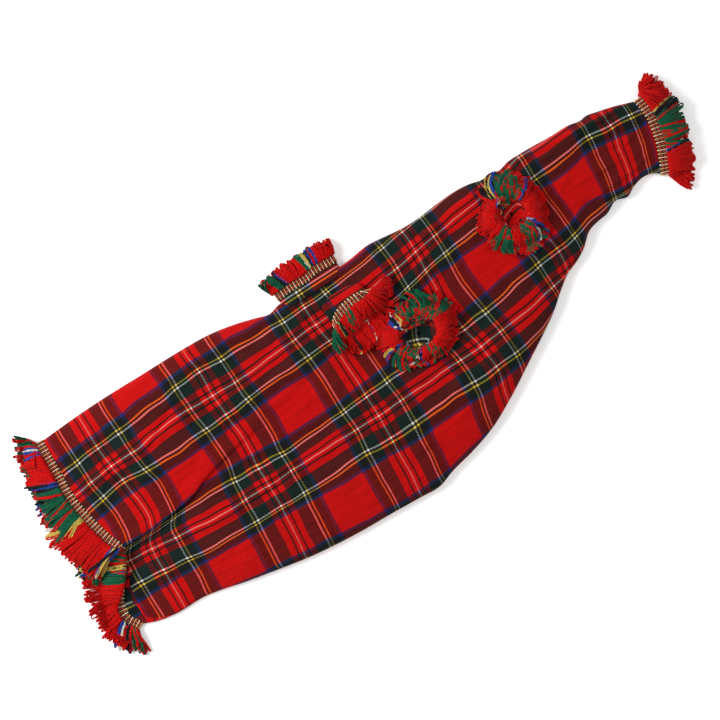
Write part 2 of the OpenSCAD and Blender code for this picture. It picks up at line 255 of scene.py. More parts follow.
# Ridges in the cloth, each a gentle roll along its line: from x, y to x, y, then height and width.
RIDGES = [
    (-310, 30, -180, 42, 1.5, 7), (-300, 66, -150, 72, 0.9, 9), (-170, 18, 30, 30, 1.2, 8),
    (-250, -62, -60, -66, 1.1, 10), (-60, -48, 150, -52, 1.0, 9), (-215, -98, 20, -112, 0.8, 12),
    (-60, 62, 80, 52, 1.0, 7), (60, 30, 200, 20, 1.2, 8), (90, 58, 215, 66, 1.3, 5),
    (120, -28, 300, -8, 1.1, 6), (215, 62, 330, 60, 1.4, 4.5), (230, 30, 345, 20, 0.9, 8),
    (20, -92, 170, -70, 0.9, 9), (235, 72, 300, 70, 0.8, 3), (295, 0, 350, 10, 1.2, 5),
    (-130, 84, -60, 76, 1.0, 6), (-20, 30, 20, -8, -0.8, 8), (90, 0, 140, -20, 0.9, 7),
    (-222, 32, -186, 54, -1.3, 2.6), (-300, 20, -255, 26, -1.0, 3), (-262, 52, -215, 47, 1.0, 4),
    (-175, -72, -110, -60, -0.9, 3.5), (-60, 6, -8, 16, -1.0, 3), (-70, 42, -34, 58, 1.2, 3.5),
    (72, 34, 112, 48, -1.1, 3), (104, 60, 150, 74, -1.0, 2.6), (150, 8, 186, -6, 1.0, 3.5),
    (228, 52, 300, 44, -1.1, 2.8), (250, -6, 335, 2, -1.2, 3), (300, 30, 356, 24, -1.1, 2.8),
    (318, 48, 362, 40, 1.1, 3), (322, 8, 352, 14, -1.0, 2.5), (238, 12, 262, 30, 0.9, 3),
    (-330, -88, -270, -84, 0.9, 5), (20, -60, 96, -76, -0.8, 3.5), (-20, -120, 60, -104, 0.8, 5),
    (-268, 22, -236, 8, -1.2, 2.0), (-284, 48, -262, 30, -1.3, 2.2), (-252, 6, -214, 16, 1.2, 2.4),
    (-198, -4, -166, 12, -1.1, 2.2), (-208, 62, -150, 58, 0.9, 3), (-120, 20, -70, 34, -0.9, 2.8),
    (-96, -20, -30, -14, 1.0, 3), (96, 20, 130, 30, 1.3, 2.4), (118, 46, 160, 40, -1.2, 2.4),
    (228, 66, 262, 56, -1.4, 2.2), (262, 66, 330, 64, 1.2, 2.2), (280, 20, 322, 14, 1.3, 2.2),
    (300, 54, 346, 58, -1.3, 2.0), (330, 26, 362, 34, 1.4, 2.2), (236, -12, 290, -2, 1.1, 2.4),
    (170, -40, 232, -24, -1.0, 3), (60, -92, 130, -62, -0.9, 3), (-300, -60, -240, -70, -0.8, 3.5),
]


def ridge_height(x, y):
    """Height that the ridges add, each wavering a little and fading at its ends."""
    total = np.zeros_like(x)
    for ax, ay, bx, by, height, width in RIDGES:
        d = np.array((bx - ax, by - ay), float)
        length = np.hypot(*d)
        d /= length
        along = (x - ax) * d[0] + (y - ay) * d[1]
        off = -(x - ax) * d[1] + (y - ay) * d[0] + 3 * np.sin(along / 27 + ax)
        ends = smooth(-25, 25, along) * smooth(-25, 25, length - along)
        total += height * ends * np.exp(-(off / width) ** 2)
    return total


def cover_height(x, y):
    """Height of the front cloth over the table, in millimetres."""
    x = np.asarray(x, float).ravel()
    y = np.asarray(y, float).ravel()
    top = curve(UPPER, x)
    low = curve(LOWER, x)
    mid = (top + low) / 2
    share = np.clip(np.abs(y - mid) / ((top - low) / 2), 0, 1)
    crown = curve(CROWN, x)
    off = y - curve(TUCK_LINE, x)
    step = np.where(x > -52, 0, curve(TUCK_DROP, x) * (1 - smooth(-1.1, 0.9, off)))
    power = 3.2
    lift = (FLAT_LIFT - SEAM_Z) * smooth(-46, -36, x) * smooth(34, 24, x)
    edge = np.where(y > mid, SEAM_Z + lift, SEAM_Z)
    body = (crown - step - edge) * (1 - share ** power) ** (1 / power)
    calm = smooth(0, 0.14, 1 - share)
    lip = 0.81 * np.exp(-((off - 5) / 5) ** 2) * smooth(-40, -110, x)
    relief = ridge_height(x, y) + lip + 0.75 * rumple(x, y, 38, 3.1) + 0.45 * rumple(x, y, 14, 7.7)
    return edge + body + 1.5 * relief * calm


def place(x, y, z):
    """Row-frame metres of points of the drawing."""
    return (columns(x, y, z) + SHIFT) * MM


# ---------------------------------------------------------------- materials

def feed(socket, value):
    """Gives an input its value: a number, a tuple or another node's output."""
    if isinstance(value, bpy.types.NodeSocket):
        socket.id_data.links.new(value, socket)
    else:
        socket.default_value = value


def set_inputs(shader, **inputs):
    """Sets inputs by name, with _ for a space."""
    for name, value in inputs.items():
        feed(shader.inputs[name.replace("_", " ")], value)


def add_node(tree, kind, **inputs):
    n = tree.nodes.new("ShaderNode" + kind)
    set_inputs(n, **inputs)
    return n


def new_material(name, roughness, specular, sheen=0.0):
    m = bpy.data.materials.new(name)
    m.use_nodes = True
    bsdf = m.node_tree.nodes["Principled BSDF"]
    set_inputs(bsdf, Roughness=roughness, Specular_IOR_Level=specular, Sheen_Weight=sheen,
               Sheen_Roughness=0.5)
    return m, m.node_tree, bsdf


def calc(tree, kind, *values):
    n = tree.nodes.new("ShaderNodeMath")
    n.operation = kind
    for socket, value in zip(n.inputs, values):
        feed(socket, value)
    return n.outputs[0]


def bump(tree, target, height, strength, distance):
    """Relief by height, fed to the Normal of the shader or of another bump."""
    n = add_node(tree, "Bump", Strength=strength, Distance=distance, Height=height)
    set_inputs(target, Normal=n.outputs[0])
    return n


def shaded(tree, bsdf, colour, value):
    """Base colour: the colour made lighter and darker by value."""
    shade = add_node(tree, "HueSaturation", Color=colour, Value=value)
    set_inputs(bsdf, Base_Color=shade.outputs[0])


def map_xy(tree, name):
    """The named map's socket, and its two coordinates."""
    uv = tree.nodes.new("ShaderNodeUVMap")
    uv.uv_map = name
    split = add_node(tree, "SeparateXYZ", Vector=uv.outputs[0])
    return uv.outputs[0], split.outputs[0], split.outputs[1]


def noise_tex(tree, vector, scale, detail):
    return add_node(tree, "TexNoise", Vector=vector, Scale=scale, Detail=detail).outputs["Fac"]


def sett_ramp(tree, coordinate):
    """The sett's colour at a cloth coordinate in metres, measured from a red pivot."""
    folded = calc(tree, "PINGPONG", coordinate, HALF * MM)
    share = calc(tree, "DIVIDE", folded, HALF * MM)
    ramp = tree.nodes.new("ShaderNodeValToRGB")
    ramp.color_ramp.interpolation = "CONSTANT"
    stops = ramp.color_ramp.elements
    edge = 0.0
    for k, (dye, width) in enumerate(STRIPES):
        stop = stops[0] if k == 0 else stops.new(edge / HALF)
        stop.position = edge / HALF
        stop.color = (*DYE[dye], 1)
        edge += width
    # The stop that a new ramp has at its far end is left over.
    stops.remove(stops[len(stops) - 1])
    tree.links.new(share, ramp.inputs[0])
    return ramp.outputs[0]


def blend_colours(tree, kind, factor, a, b):
    mix = tree.nodes.new("ShaderNodeMix")
    mix.data_type = "RGBA"
    mix.blend_type = kind
    set_inputs(mix, Factor=factor, A=a, B=b)
    return mix.outputs["Result"]


def tartan_material():
    """Twill: lengthwise and cross yarns take turns on top along fine diagonals."""
    m, tree, bsdf = new_material("tartan_twill", roughness=0.85, specular=0.08, sheen=0.03)
    uv, u, v = map_xy(tree, "cloth")
    warp = sett_ramp(tree, v)
    weft = sett_ramp(tree, calc(tree, "ADD", u, HALF * MM))
    twill = calc(tree, "ADD", u, v)
    wave = calc(tree, "SINE", calc(tree, "MULTIPLY", twill, math.tau / TWILL))
    mottle = noise_tex(tree, uv, 700.0, 2.0)
    share = calc(tree, "MULTIPLY_ADD", wave, 0.17, 0.42)
    share = calc(tree, "ADD", share, calc(tree, "MULTIPLY", mottle, 0.34))
    rest = calc(tree, "SUBTRACT", 1.0, share)
    # Each set of yarns colours the cloth by the share of it that shows; multiplying the two shares also
    # darkens the cloth beyond the plain mix where the colours differ, which is painted shade from the
    # neighbouring yarns.
    warp_part = add_node(tree, "Gamma", Color=warp, Gamma=share).outputs[0]
    weft_part = add_node(tree, "Gamma", Color=weft, Gamma=rest).outputs[0]
    crossed_and_shaded = blend_colours(tree, "MULTIPLY", 1.0, warp_part, weft_part)
    side_by_side = blend_colours(tree, "MIX", 0.42, warp, weft)
    mixed = blend_colours(tree, "MIX", 0.16, crossed_and_shaded, side_by_side)
    broad = noise_tex(tree, uv, 28.0, 3.0)
    shaded(tree, bsdf, mixed, calc(tree, "MULTIPLY_ADD", broad, 0.22, 0.9))
    height = calc(tree, "ADD", wave, calc(tree, "MULTIPLY", mottle, 1.5))
    weave = bump(tree, bsdf, height, 0.5, 0.0003)
    # Soft creases, longer along the cloth than across it.
    creased = add_node(tree, "Mapping", Vector=uv, Scale=(26.0, 95.0, 1.0))
    bump(tree, weave, noise_tex(tree, creased.outputs[0], 1.0, 2.5), 0.9, 0.0030)
    return m


def ply_lines(tree, u, v, pitch, twist):
    """A wave over the diagonal lines of a twisted yarn, pitch metres apart along it."""
    along = calc(tree, "MULTIPLY", u, 1 / pitch)
    line = calc(tree, "ADD", along, calc(tree, "MULTIPLY", v, twist))
    return calc(tree, "SINE", calc(tree, "MULTIPLY", line, math.tau))


def wool_material(name, colour):
    """Soft two-ply yarn: a diagonal ply line in the relief and painted into the colour as shade and light,
    fuzz in the colour and a woolly sheen.
    """
    m, tree, bsdf = new_material(name, roughness=0.95, specular=0.05, sheen=0.04)
    _, u, v = map_xy(tree, "yarn")
    wave = ply_lines(tree, u, v, 0.0042, 2.0)
    x = calc(tree, "MULTIPLY", u, 900.0)
    y = calc(tree, "MULTIPLY", v, 3.0)
    fuzz = noise_tex(tree, add_node(tree, "CombineXYZ", X=x, Y=y).outputs[0], 1.6, 4.0)
    value = calc(tree, "MULTIPLY_ADD", fuzz, 0.7, 0.62)
    # The ply lines are also painted shade and light in the colour: darker in the grooves between the plies,
    # lighter on their ridges.
    shaded(tree, bsdf, (*colour, 1), calc(tree, "ADD", calc(tree, "MULTIPLY", wave, 0.1), value))
    height = calc(tree, "ADD", wave, calc(tree, "MULTIPLY", fuzz, 2.0))
    bump(tree, bsdf, height, 0.6, 0.0004)
    return m


def thread_material(name, colour):
    """Tight spun thread for the braid, with fine spiral lines in the relief, also painted into the colour
    as shade and light.
    """
    m, tree, bsdf = new_material(name, roughness=0.6, specular=0.35, sheen=0.1)
    _, u, v = map_xy(tree, "yarn")
    wave = ply_lines(tree, u, v, 0.0009, 1.0)
    # The spiral lines are also painted shade and light in the colour: darker in the grooves of the twist,
    # lighter on its ridges.
    shaded(tree, bsdf, (*colour, 1), calc(tree, "MULTIPLY_ADD", wave, 0.14, 0.95))
    bump(tree, bsdf, wave, 0.4, 0.0002)
    return m


TARTAN = tartan_material()
YARN = {name: wool_material("wool_" + name, colour) for name, colour in WOOL.items()}
BRAID = {name: thread_material("braid_" + name, colour) for name, colour in THREAD.items()}


# ---------------------------------------------------------------- mesh helpers

def new_object(name, data):
    obj = bpy.data.objects.new(name, data)
    bpy.context.scene.collection.objects.link(obj)
    return obj


def make_mesh(name, verts, faces, materials, uvs=None, uv_name="cloth", slots=None, soft=True):
    """A mesh object from points in metres, faces, one uv per vertex and one slot per face."""
    mesh = bpy.data.meshes.new(name)
    mesh.from_pydata([tuple(v) for v in verts], [], [tuple(int(i) for i in f) for f in faces])
    for m in materials:
        mesh.materials.append(m)
    if uvs is not None:
        layer = mesh.uv_layers.new(name=uv_name)
        loops = np.zeros(len(mesh.loops), np.int32)
        mesh.loops.foreach_get("vertex_index", loops)
        layer.data.foreach_set("uv", np.asarray(uvs, np.float32)[loops].ravel())
    if slots is not None:
        mesh.polygons.foreach_set("material_index", np.asarray(slots, np.int32))
    mesh.polygons.foreach_set("use_smooth", [soft] * len(mesh.polygons))
    mesh.update()
    return new_object(name, mesh)


def grid_faces(rows, cols, close=False):
    """Four-sided faces over a grid of points, closed into a tube across its columns if asked."""
    i, j = np.meshgrid(np.arange(rows - 1), np.arange(cols if close else cols - 1), indexing="ij")
    i, j = i.ravel(), j.ravel()
    n = (j + 1) % cols
    return columns(i * cols + j, i * cols + n, (i + 1) * cols + n, (i + 1) * cols + j)


def solidify(obj, thickness, offset):
    """Gives a sheet its thickness in millimetres: under it for offset -1, half each way for 0."""
    mod = obj.modifiers.new("solidify", "SOLIDIFY")
    mod.thickness = thickness * MM
    mod.offset = offset
    bpy.context.view_layer.objects.active = obj
    bpy.ops.object.modifier_apply(modifier=mod.name)


def join(objs):
    bpy.ops.object.select_all(action="DESELECT")
    for o in objs:
        o.select_set(True)
    bpy.context.view_layer.objects.active = objs[0]
    bpy.ops.object.join()
    return objs[0]


class Tubes:
    """Collects many tubes, each along its own points, to become one mesh."""

    def __init__(self):
        self.verts, self.faces, self.uvs, self.slots = [], [], [], []
        self.count = 0
        self.index = 0

    def add(self, paths, radius, sides, slot):
        """paths is (tubes, points, 3) and radius one number or one per point, both in metres;
        slot gives each tube's material."""
        paths = np.asarray(paths, float)
        n, m, _ = paths.shape
        tangent = unit(np.gradient(paths, axis=1))
        side = unit(np.cross(tangent[:, 0], (0.13, 0.27, 1.0)))
        sides_at = np.zeros_like(paths)
        for k in range(m):
            side = square_to(tangent[:, k], side)
            sides_at[:, k] = side
        up = np.cross(tangent, sides_at)
        turn = turns(sides)[:, None]
        r = np.broadcast_to(radius, (n, m))[:, :, None, None]
        around = np.cos(turn) * sides_at[:, :, None] + np.sin(turn) * up[:, :, None]
        verts = paths[:, :, None] + around * r
        step = np.linalg.norm(np.diff(paths, axis=1), axis=2)
        length = np.concatenate((np.zeros((n, 1)), np.cumsum(step, axis=1)), 1)
        number = (self.index + np.arange(n))[:, None, None]
        share = np.minimum(np.arange(sides), sides - np.arange(sides)) / sides * 2
        uv = np.zeros((n, m, sides, 2))
        uv[..., 0] = length[:, :, None] + number * 0.0137
        uv[..., 1] = share * 0.5 + number
        base = grid_faces(m, sides, close=True)
        caps = [np.arange(sides)[::-1], (m - 1) * sides + np.arange(sides)]
        for t in range(n):
            start = self.count + t * m * sides
            self.faces.extend((base + start).tolist())
            self.faces.extend([(c + start).tolist() for c in caps])
            self.slots.extend([int(slot[t])] * (len(base) + 2))
        self.verts.append(verts.reshape(-1, 3))
        self.uvs.append(uv.reshape(-1, 2))
        self.count += n * m * sides
        self.index += n

    def build(self, name, materials):
        return make_mesh(name, np.concatenate(self.verts), self.faces, materials,
                         np.concatenate(self.uvs), "yarn", self.slots)


# ---------------------------------------------------------------- the two panels

# Ends of the front cloth: where it stops along the cover, at places across it.
REAR_EDGE = [(-125, -332), (-112, -333), (-97, -340), (-84, -338), (-72, -330), (-58, -319), (-46, -312),
             (-36, -306), (-20, -311), (5, -316.5), (35, -320), (60, -318.5), (97, -317), (110, -317)]
NECK_EDGE = [(-30, 347), (-18, 350), (-12, 352), (10, 361), (35, 367), (58, 367), (70, 366)]
# Holes in the front cloth: centre, then how far they reach along and across the cover.
HOLES = {
    "middle_drone": (12.5, 57.0, 20.0, 3.2),
    "inner_drone": (59.5, -16.5, 18.5, 18.5),
    "blowpipe": (198.5, 29.0, 18.5, 18.5),
}


def panel_grid(cols, rows):
    """Drawing coordinates of a grid over the whole cloth, in rows along it that close up at its sides."""
    close = np.array((0, 0.004, 0.010, 0.018, 0.028, 0.040, 0.054))
    across = np.concatenate((close, np.linspace(0.07, 0.93, rows), 1 - close[::-1]))
    share = np.linspace(0, 1, cols)
    xs = np.zeros((len(across), cols))
    ys = np.zeros_like(xs)
    for i, t in enumerate(across):
        x = np.linspace(-320, 362, cols)
        # Where a row starts and stops depends on its own height there, so it settles in a few rounds.
        for _ in range(4):
            low = curve(LOWER, x)
            y = low + t * (curve(UPPER, x) - low)
            start = curve(REAR_EDGE, y[0])
            stop = curve(NECK_EDGE, y[-1])
            x = start + (stop - start) * share
        xs[i] = x
        ys[i] = y
    return across, xs, ys


def front_panel():
    """The tartan face of the cover, with its tuck, rolls and holes."""
    across, xs, ys = panel_grid(250, 88)
    # Rows close up where the cloth steps down at the tuck.
    line = curve(TUCK_LINE, xs)
    near = np.exp(-((ys - line) / 14) ** 2) * smooth(-100, -230, xs)
    ys = ys - (ys - line) * 0.66 * near
    x = xs.ravel().copy()
    y = ys.ravel().copy()
    inside = np.zeros(len(x), bool)
    for cx, cy, rx, ry in HOLES.values():
        d = np.hypot((x - cx) / rx, (y - cy) / ry)
        gap = 1.5 / ry
        snap = np.abs(d - 1) < gap
        x = np.where(snap, cx + (x - cx) / d, x)
        y = np.where(snap, cy + (y - cy) / d, y)
        inside |= d < 1 - gap
    z = cover_height(x, y)
    u, v = weave_at(x, y)
    # Down the steep sides the weave runs on by the cloth's own length, not by its plan.
    rise = np.diff(z.reshape(xs.shape), axis=0)
    run = np.diff(y.reshape(xs.shape), axis=0)
    steep = smooth(0.86, 0.92, np.abs(across * 2 - 1))
    extra = (np.hypot(rise, run) - np.abs(run)) * (steep[1:, None] + steep[:-1, None]) / 2
    half = len(across) // 2
    slip = np.zeros_like(xs)
    slip[half + 1:] = np.cumsum(extra[half:], axis=0)
    slip[:half] = -np.cumsum(extra[:half][::-1], axis=0)[::-1]
    v = v + slip.ravel()
    faces = grid_faces(*xs.shape)
    faces = faces[~inside[faces].any(1)]
    # The upper side of the tuck leans out over the lower side.
    off = y - curve(TUCK_LINE, x)
    lean = np.exp(-((off - 1.0) / 1.6) ** 2) - 0.8 * np.exp(-((off + 1.6) / 1.4) ** 2)
    y = y - 2.0 * lean * smooth(-130, -215, x)
    obj = make_mesh("front_cloth", place(x, y, z), faces, [TARTAN], columns(u, v) * MM)
    solidify(obj, CLOTH_T, -1)
    return obj


def back_panel():
    """The face that the cover lies on, turned up a little to meet the front at the long seams."""
    across, xs, ys = panel_grid(190, 40)
    rows, cols = xs.shape
    t = np.repeat(across, cols)
    x = xs.ravel()
    y = ys.ravel()
    edge = np.minimum(t, 1 - t)
    lift = (SEAM_Z - 1.2) * (1 - smooth(0, 0.03, edge))
    ends = np.tile(np.linspace(0, 1, cols), rows)
    lift = lift + 1.3 * smooth(0.03, 0, np.minimum(ends, 1 - ends))
    z = 1.15 + lift + 0.25 * np.abs(rumple(x, y, 45, 9.2)) * smooth(0, 0.06, edge)
    u, v = weave_at(x, y)
    obj = make_mesh("back_cloth", place(x, y, z), grid_faces(rows, cols)[:, ::-1], [TARTAN],
                    columns(u + 31, v + 12) * MM)
    solidify(obj, CLOTH_T, -1)
    return obj


# ---------------------------------------------------------------- rims: braid and fringe

class Rim:
    """A closed edge to trim: its points in millimetres of the row frame, the way its fringe points
    and the way it faces."""

    def __init__(self, points, out, face):
        p = np.asarray(points, float)
        ahead = np.roll(p, -1, axis=0) - p
        self.s = run_lengths(ahead)
        self.length = self.s[-1]
        self.turn = np.sign((np.cross(face, out) * ahead).sum())
        self.rows = [np.vstack((a, a[:1])) for a in (p, np.asarray(out, float), np.asarray(face, float))]

    def at(self, share):
        """Point, out, face and along at shares of the rim's length; along goes the way the share grows."""
        s = (np.asarray(share, float) % 1.0) * self.length
        p, out, face = (sample(s, self.s, rows) for rows in self.rows)
        out = unit(out)
        face = square_to(out, face)
        return p, out, face, np.cross(face, out) * self.turn


def braid(name, rim, width=BRAID_W, pitch=3.7):
    """Woven ladder braid: a ribbed black ground, which is painted shade for the dark gaps between the
    rungs, cream and gold rungs with picots, red knots between them and two green lines."""
    tubes = Tubes()
    slot = list(BRAID).index
    cells = int(round(rim.length / pitch))
    share = np.arange(cells) / cells
    gap = rim.length / cells

    def strip(offset, lift, radius, colour, wobble=0.0, phase=0.0):
        """One thread all the way round the rim."""
        n = cells * 4
        way = np.arange(n + 1) / n
        p, out, face, _ = rim.at(way)
        sway = wobble * np.sin(way * cells * math.tau + phase)
        path = p + out * (offset + sway)[:, None] + face * lift
        tubes.add((path * MM)[None], radius * MM, 6, [slot(colour)])

    def rungs(share, reach, lift, fat, slots):
        """One short thread across the braid at each share."""
        p, out, face, _ = rim.at(share)
        paths = p[:, None] + out[:, None] * reach[None, :, None] + face[:, None] * lift[None, :, None]
        tubes.add(paths * MM, fat * MM, 6, slots)

    # The black ground threads are painted shade: dark thread where the gaps between the rungs lie in shade.
    for k in range(7):
        strip(0.9 + k * (width - 1.8) / 6, 0.35, 0.68, "black")
    for side in (0.24, 0.76):
        strip(width * side, 0.95, 0.42, "green", 0.35, side * 9)
    # A rung and its picots: these points of its thirteen, and its reach, height and thickness there.
    at = (0, 1, 2, 3, 6, 9, 10, 11, 12)
    reach = (0.6, 0.0, 0.5, 1.4, width / 2, width - 1.4, width - 0.5, width, width - 0.6)
    lift = (0.2, 0.6, 1.1, 1.5, 1.25, 1.5, 1.1, 0.6, 0.2)
    fat = (0.5, 0.75, 0.78, 0.5, 0.46, 0.5, 0.78, 0.75, 0.5)
    shape = [np.interp(np.arange(13), at, values) for values in (reach, lift, fat)]
    rungs(share, *shape, [slot("cream") if k % 2 else slot("gold") for k in range(cells)])
    q = np.linspace(0, 1, 7)
    swell = np.sin(q * math.pi)
    for start, stop in ((1.3, width / 2 - 0.5), (width / 2 + 0.5, width - 1.3)):
        rungs(share + 0.5 / cells, start + (stop - start) * q, 0.75 + 0.45 * swell,
              (0.35 + 0.55 * swell) * gap / pitch, [slot("red")] * cells)
    return tubes.build(name, list(BRAID.values()))


# The yarns that each kind of stretch takes turns with.
MIXES = {
    "red": ["red"],
    "green": ["green", "green", "red", "green", "red"],
    "dark": ["blue", "black", "black", "yellow"],
    "light": ["white", "yellow", "yellow", "red"],
    "cool": ["blue", "white", "blue", "black", "red"],
    "warm": ["yellow", "black", "blue", "red"],
}
# The piece that each kind belongs to.
KIND = {mix: mix if mix in ("red", "green") else "accent" for mix in MIXES}
COLOURS = list(WOOL)
# Where each stretch of fringe ends around its rim, and the yarns in it.
REAR_BLOCKS = {
    0.012: "green", 0.03: "cool", 0.096: "red", 0.11: "dark", 0.185: "green", 0.2: "light", 0.28: "red",
    0.297: "warm", 0.365: "green", 0.385: "dark", 0.41: "green", 0.47: "red", 0.485: "cool",
    0.52: "green", 0.62: "red", 0.64: "warm", 0.74: "green", 0.755: "dark", 0.86: "red", 0.875: "cool",
    1.0: "green",
}
NECK_BLOCKS = {
    0.105: "red", 0.135: "dark", 0.32: "green", 0.345: "cool", 0.62: "red", 0.65: "warm", 0.82: "green",
    0.85: "dark", 1.0: "red",
}
# These run anticlockwise round the rim from its +X side.
OUTER_BLOCKS = {
    0.12: "red", 0.15: "cool", 0.175: "dark", 0.195: "light", 0.21: "green", 0.37: "red", 0.405: "dark",
    0.55: "green", 0.7: "red", 0.74: "warm", 0.9: "green", 1.0: "red",
}
MIDDLE_BLOCKS = {
    0.25: "red", 0.34: "green", 0.40: "red", 0.425: "dark", 0.54: "green", 0.6: "red", 0.63: "warm",
    0.76: "red", 0.785: "cool", 1.0: "red",
}
INNER_BLOCKS = {
    0.03: "red", 0.31: "green", 0.335: "light", 0.37: "cool", 0.51: "red", 0.54: "warm", 0.68: "green",
    0.71: "cool", 0.74: "red", 0.82: "green", 1.0: "red",
}
PIPE_BLOCKS = {
    0.06: "red", 0.085: "cool", 0.28: "green", 0.325: "warm", 0.55: "red", 0.65: "green", 0.72: "red",
    0.845: "green", 0.87: "cool", 1.0: "red",
}

# A looped yarn's points: how far out they are, and to which side of the loop.
Q = np.array((0, 0.1, 0.22, 0.36, 0.52, 0.68, 0.82, 0.93, 0.985, 1.0, 0.985, 0.93, 0.82, 0.68, 0.52,
              0.36, 0.22, 0.1, 0))
HAND = np.array((-1, -1, -1, -1, -1, -1, -1.1, -1, -0.65, 0, 0.65, 1, 1.1, 1, 1, 1, 1, 1, 1))


def lie_flat(q, length, drop, keep):
    """How far out and how high a yarn runs when the fringe lies flat and sinks to the table."""
    return keep * length * q, 1.6 * np.sin(q * math.pi * 0.9) - drop * q ** 1.6


def flop_over(q, length, drop, keep):
    """How far up and how far outward a yarn runs when it falls back over the rim it stands on."""
    up = 2.8 * np.sin(np.minimum(q * 2.2, 1) * math.pi) - drop * smooth(0.12, 0.85, q)
    return up, keep * length * q ** 0.85 - 2.2 * np.exp(-(q / 0.05) ** 2)


def groups(share, count):
    """Which of count even groups each share falls in, and where in it, from -0.5 to 0.5."""
    return (share * count).astype(int) % count, (share * count) % 1.0 - 0.5


def fringe(name, rim, blocks, length, seed, floor, shape=lie_flat, drop=9.0, rows=3, spacing=1.55,
           fan=0.0, corner=0.0, tuft=17.0, spread=0.3, wild=0.16, inward=0.0, stagger=0.0,
           under=None):
    """Looped wool yarns along a rim: wide tufts that fan out, each of small bunches that come to a
    point. blocks gives the mix by the share where it ends, and length(share) is in millimetres. fan and
    corner turn the yarns outward along the rim and at its two ends, spread within a tuft. wild is how
    much the tufts differ, inward the share of them that fall over the mouth, and stagger moves each
    row's tufts. floor(x, y) is the height of what the yarns rest on."""
    rng = np.random.default_rng(seed)
    per_row = int(rim.length / spacing)
    tufts = max(4, int(rim.length / tuft))
    bunches = int(rim.length / BUNCH)
    tuft_size = rng.uniform(0.94 - 0.5 * wild, 1.06, tufts)
    tuft_tilt = rng.normal(0, wild, tufts)
    tuft_in = rng.uniform(0, 1, tufts) < inward
    tuft_curl = rng.normal(0, wild * 1.1, tufts)
    tuft_rise = rng.uniform(0, 1, tufts)
    bunch_size = rng.uniform(0.87, 1.05, bunches)
    bunch_tilt = rng.normal(0, 0.05 + 0.3 * wild, bunches)
    ends = list(blocks)
    mixes = list(blocks.values())
    paths = {kind: [] for kind in ("red", "green", "accent")}
    colour = {kind: [] for kind in paths}
    for row in range(rows):
        share = ((np.arange(per_row) + row / rows + rng.uniform(-0.3, 0.3, per_row)) / per_row) % 1.0
        p, out, face, along = rim.at(share)
        which = np.minimum(np.searchsorted(ends, share, side="right"), len(blocks) - 1)
        in_tuft, off = groups((share + row * stagger / tufts) % 1.0, tufts)
        in_bunch, aside = groups(share, bunches)
        side = np.where(share < 0.5, (share - 0.25) * 4, (share - 0.75) * 4)
        for k in range(per_row):
            mix = mixes[which[k]]
            yarn = MIXES[mix][rng.integers(len(MIXES[mix]))]
            t = in_tuft[k]
            reach = length(share[k]) * tuft_size[t] * bunch_size[in_bunch[k]] * (1 - 0.3 * off[k] ** 2)
            reach *= (1 - 0.06 * row) * (1 + 0.04 * rng.normal())
            angle = fan * side[k] + corner * side[k] ** 7 + tuft_tilt[t] + bunch_tilt[in_bunch[k]]
            angle += 2 * spread * off[k] + rng.normal(0, 0.03 + 0.3 * wild)
            fwd, high = shape(Q, reach, drop, math.cos(angle))
            if tuft_in[t]:
                fwd = fwd + 2.5 * Q + drop * 0.55 * smooth(0.12, 0.85, Q)
                high = -0.6 * high
            gape = (abs(rng.normal(0.3, 0.2)) + 0.5) * (3 if rng.random() < 0.04 else 1)
            crimp = rng.uniform(0, 6.28)
            sway = math.sin(angle) * reach * Q + tuft_curl[t] * reach * Q ** 2 * 0.6
            sway += gape * HAND * (0.5 + 0.5 * np.minimum(Q * 2, 1)) - aside[k] * BUNCH * 0.75 * Q ** 2
            sway += 0.28 * np.sin(reach * Q * 1.05 + crimp) * (HAND + 2) / 2
            lump = tuft_rise[t] * (1 + 8 * wild) * np.sin(Q * math.pi) * (1 - 3 * off[k] ** 2)
            high = high + (rows - 1 - row) * 1.25 + 0.8 + lump
            high += 0.22 * np.sin(reach * Q * 0.9 + crimp * 2) + rng.normal(0, 0.35) * Q
            path = p[k] + out[k] * (BRAID_W - 0.8 + fwd)[:, None]
            path = path + along[k] * sway[:, None] + face[k] * high[:, None]
            if under is not None:
                path = under(path, share[k])
            rest = floor(path[:, 0], path[:, 1]) + YARN_R + (rows - 1 - row) * 0.9 * np.minimum(Q * 3, 1)
            path[:, 2] = np.maximum(path[:, 2], rest)
            kind = KIND[mix]
            paths[kind].append(path)
            colour[kind].append(COLOURS.index(yarn))
    made = {}
    for kind, yarns in paths.items():
        tubes = Tubes()
        tubes.add(np.array(yarns) * MM, YARN_R * MM, 5, colour[kind])
        made[kind] = tubes.build(f"{name}_wool_{kind}", list(YARN.values()))
    return made


def on_table(x, y):
    return np.zeros_like(x)


def on_cover(x, y):
    """Height of the cover's cloth under points of the row frame, or the table beside it."""
    dx = x - SHIFT[0]
    dy = y - SHIFT[1]
    over = (dy < curve(UPPER, dx)) & (dy > curve(LOWER, dx))
    return np.where(over, cover_height(dx, dy), 0.0)


def mouth_rim(edge, sign, span):
    """The rim of the rear (sign -1) or neck (sign 1) mouth: over the front cloth, then back below it."""
    y = np.linspace(*span, 60)
    x = curve(edge, y)
    z = cover_height(x, y) - 0.2
    slope = np.gradient(x, y)
    out = unit(columns(sign, -sign * slope, 0))
    front = columns(x, y, z)
    up = unit(columns(0, -np.gradient(z, y), 1))
    back = columns(x, y, BACK_EDGE_Z)[::-1]
    down = columns(np.zeros_like(y), 0, -1)
    return Rim(np.vstack((front, back)) + SHIFT, np.vstack((out, out[::-1])), np.vstack((up, down)))


def ring(cx, cy, rx, ry, count):
    a = turns(count)
    return columns(cx + rx * np.cos(a), cy + ry * np.sin(a), 0)


def foot(hole, wider, lift, count):
    """A sleeve's lowest ring, round its hole and a little wider, on the front cloth."""
    cx, cy, rx, ry = HOLES[hole]
    base = ring(cx, cy, rx + wider, ry + wider, count)
    base[:, 2] = cover_height(base[:, 0], base[:, 1]) + lift
    return base


